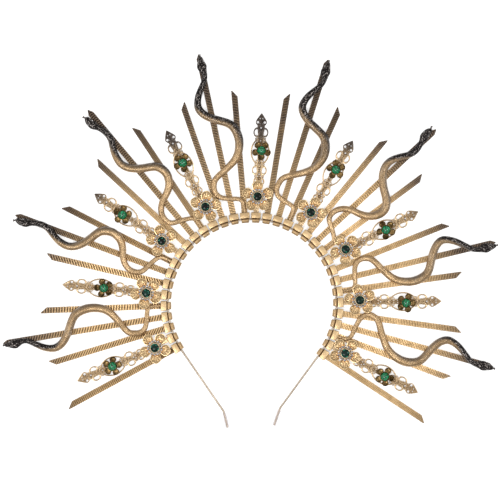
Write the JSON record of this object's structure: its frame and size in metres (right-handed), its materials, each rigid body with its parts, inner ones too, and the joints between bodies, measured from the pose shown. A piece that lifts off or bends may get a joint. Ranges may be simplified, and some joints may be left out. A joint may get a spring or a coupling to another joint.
{
  "type": "halo crown",
  "caption": "Halo crown: ribbed strips, swept snakes and jewelled flower sprays fan out from a row of end caps on a wire headband.",
  "frame": {"origin": "centre of the crown's box, on the plane of the caps' backs that it lies on", "axes": "+X across the crown to its wearer's left, +Y to the crown's top, +Z out of its front"},
  "size_m": [0.3724, 0.282, 0.0076],
  "materials": {
    "rose_wire": "pale rose-gold plated wire, polished",
    "clear_sleeve": "clear soft plastic sleeve",
    "cap_gold": "satin gold plate",
    "antique_strip": "ribbed antique brass, darkened towards the outer ends",
    "snake_gunmetal": "scaled gold tail that darkens to a gunmetal head",
    "flower_gold": "engraved bright gold plate",
    "filigree_gold": "antiqued pierced gold plate",
    "dark_emerald": "faceted dark green glass",
    "ice_crystal": "small clear crystals",
    "malachite": "polished green cabochon"
  },
  "bodies": {
    "root": {"headband": "rose_wire", "headband_tip_left": "clear_sleeve", "headband_tip_right": "clear_sleeve", "cap_row": "cap_gold", "ray_1": "antique_strip", "ray_2": "antique_strip", "ray_3": "antique_strip", "ray_4": "antique_strip", "ray_5": "antique_strip", "ray_6": "antique_strip", "ray_7": "antique_strip", "ray_8": "antique_strip", "ray_9": "antique_strip", "ray_10": "antique_strip", "ray_11": "antique_strip", "ray_12": "antique_strip", "ray_13": "antique_strip", "ray_14": "antique_strip", "ray_15": "antique_strip", "ray_16": "antique_strip", "ray_17": "antique_strip", "ray_18": "antique_strip", "ray_19": "antique_strip", "ray_20": "antique_strip", "ray_21": "antique_strip", "ray_22": "antique_strip", "ray_23": "antique_strip", "ray_24": "antique_strip", "ray_25": "antique_strip", "ray_26": "antique_strip", "snake_1": "snake_gunmetal", "snake_2": "snake_gunmetal", "snake_3": "snake_gunmetal", "snake_4": "snake_gunmetal", "snake_5": "snake_gunmetal", "snake_6": "snake_gunmetal", "snake_7": "snake_gunmetal", "snake_8": "snake_gunmetal", "flower_1": "flower_gold", "flower_2": "flower_gold", "flower_3": "flower_gold", "flower_4": "flower_gold", "flower_5": "flower_gold", "flower_6": "flower_gold", "flower_7": "flower_gold", "flower_8": "flower_gold", "flower_9": "flower_gold", "filigree_1": "filigree_gold", "filigree_2": "filigree_gold", "filigree_3": "filigree_gold", "filigree_4": "filigree_gold", "filigree_5": "filigree_gold", "filigree_6": "filigree_gold", "filigree_7": "filigree_gold", "filigree_8": "filigree_gold", "filigree_9": "filigree_gold", "centre_stones": "dark_emerald", "crystal_rings": "ice_crystal", "cabochons": "malachite"}
  },
  "joints": []
}
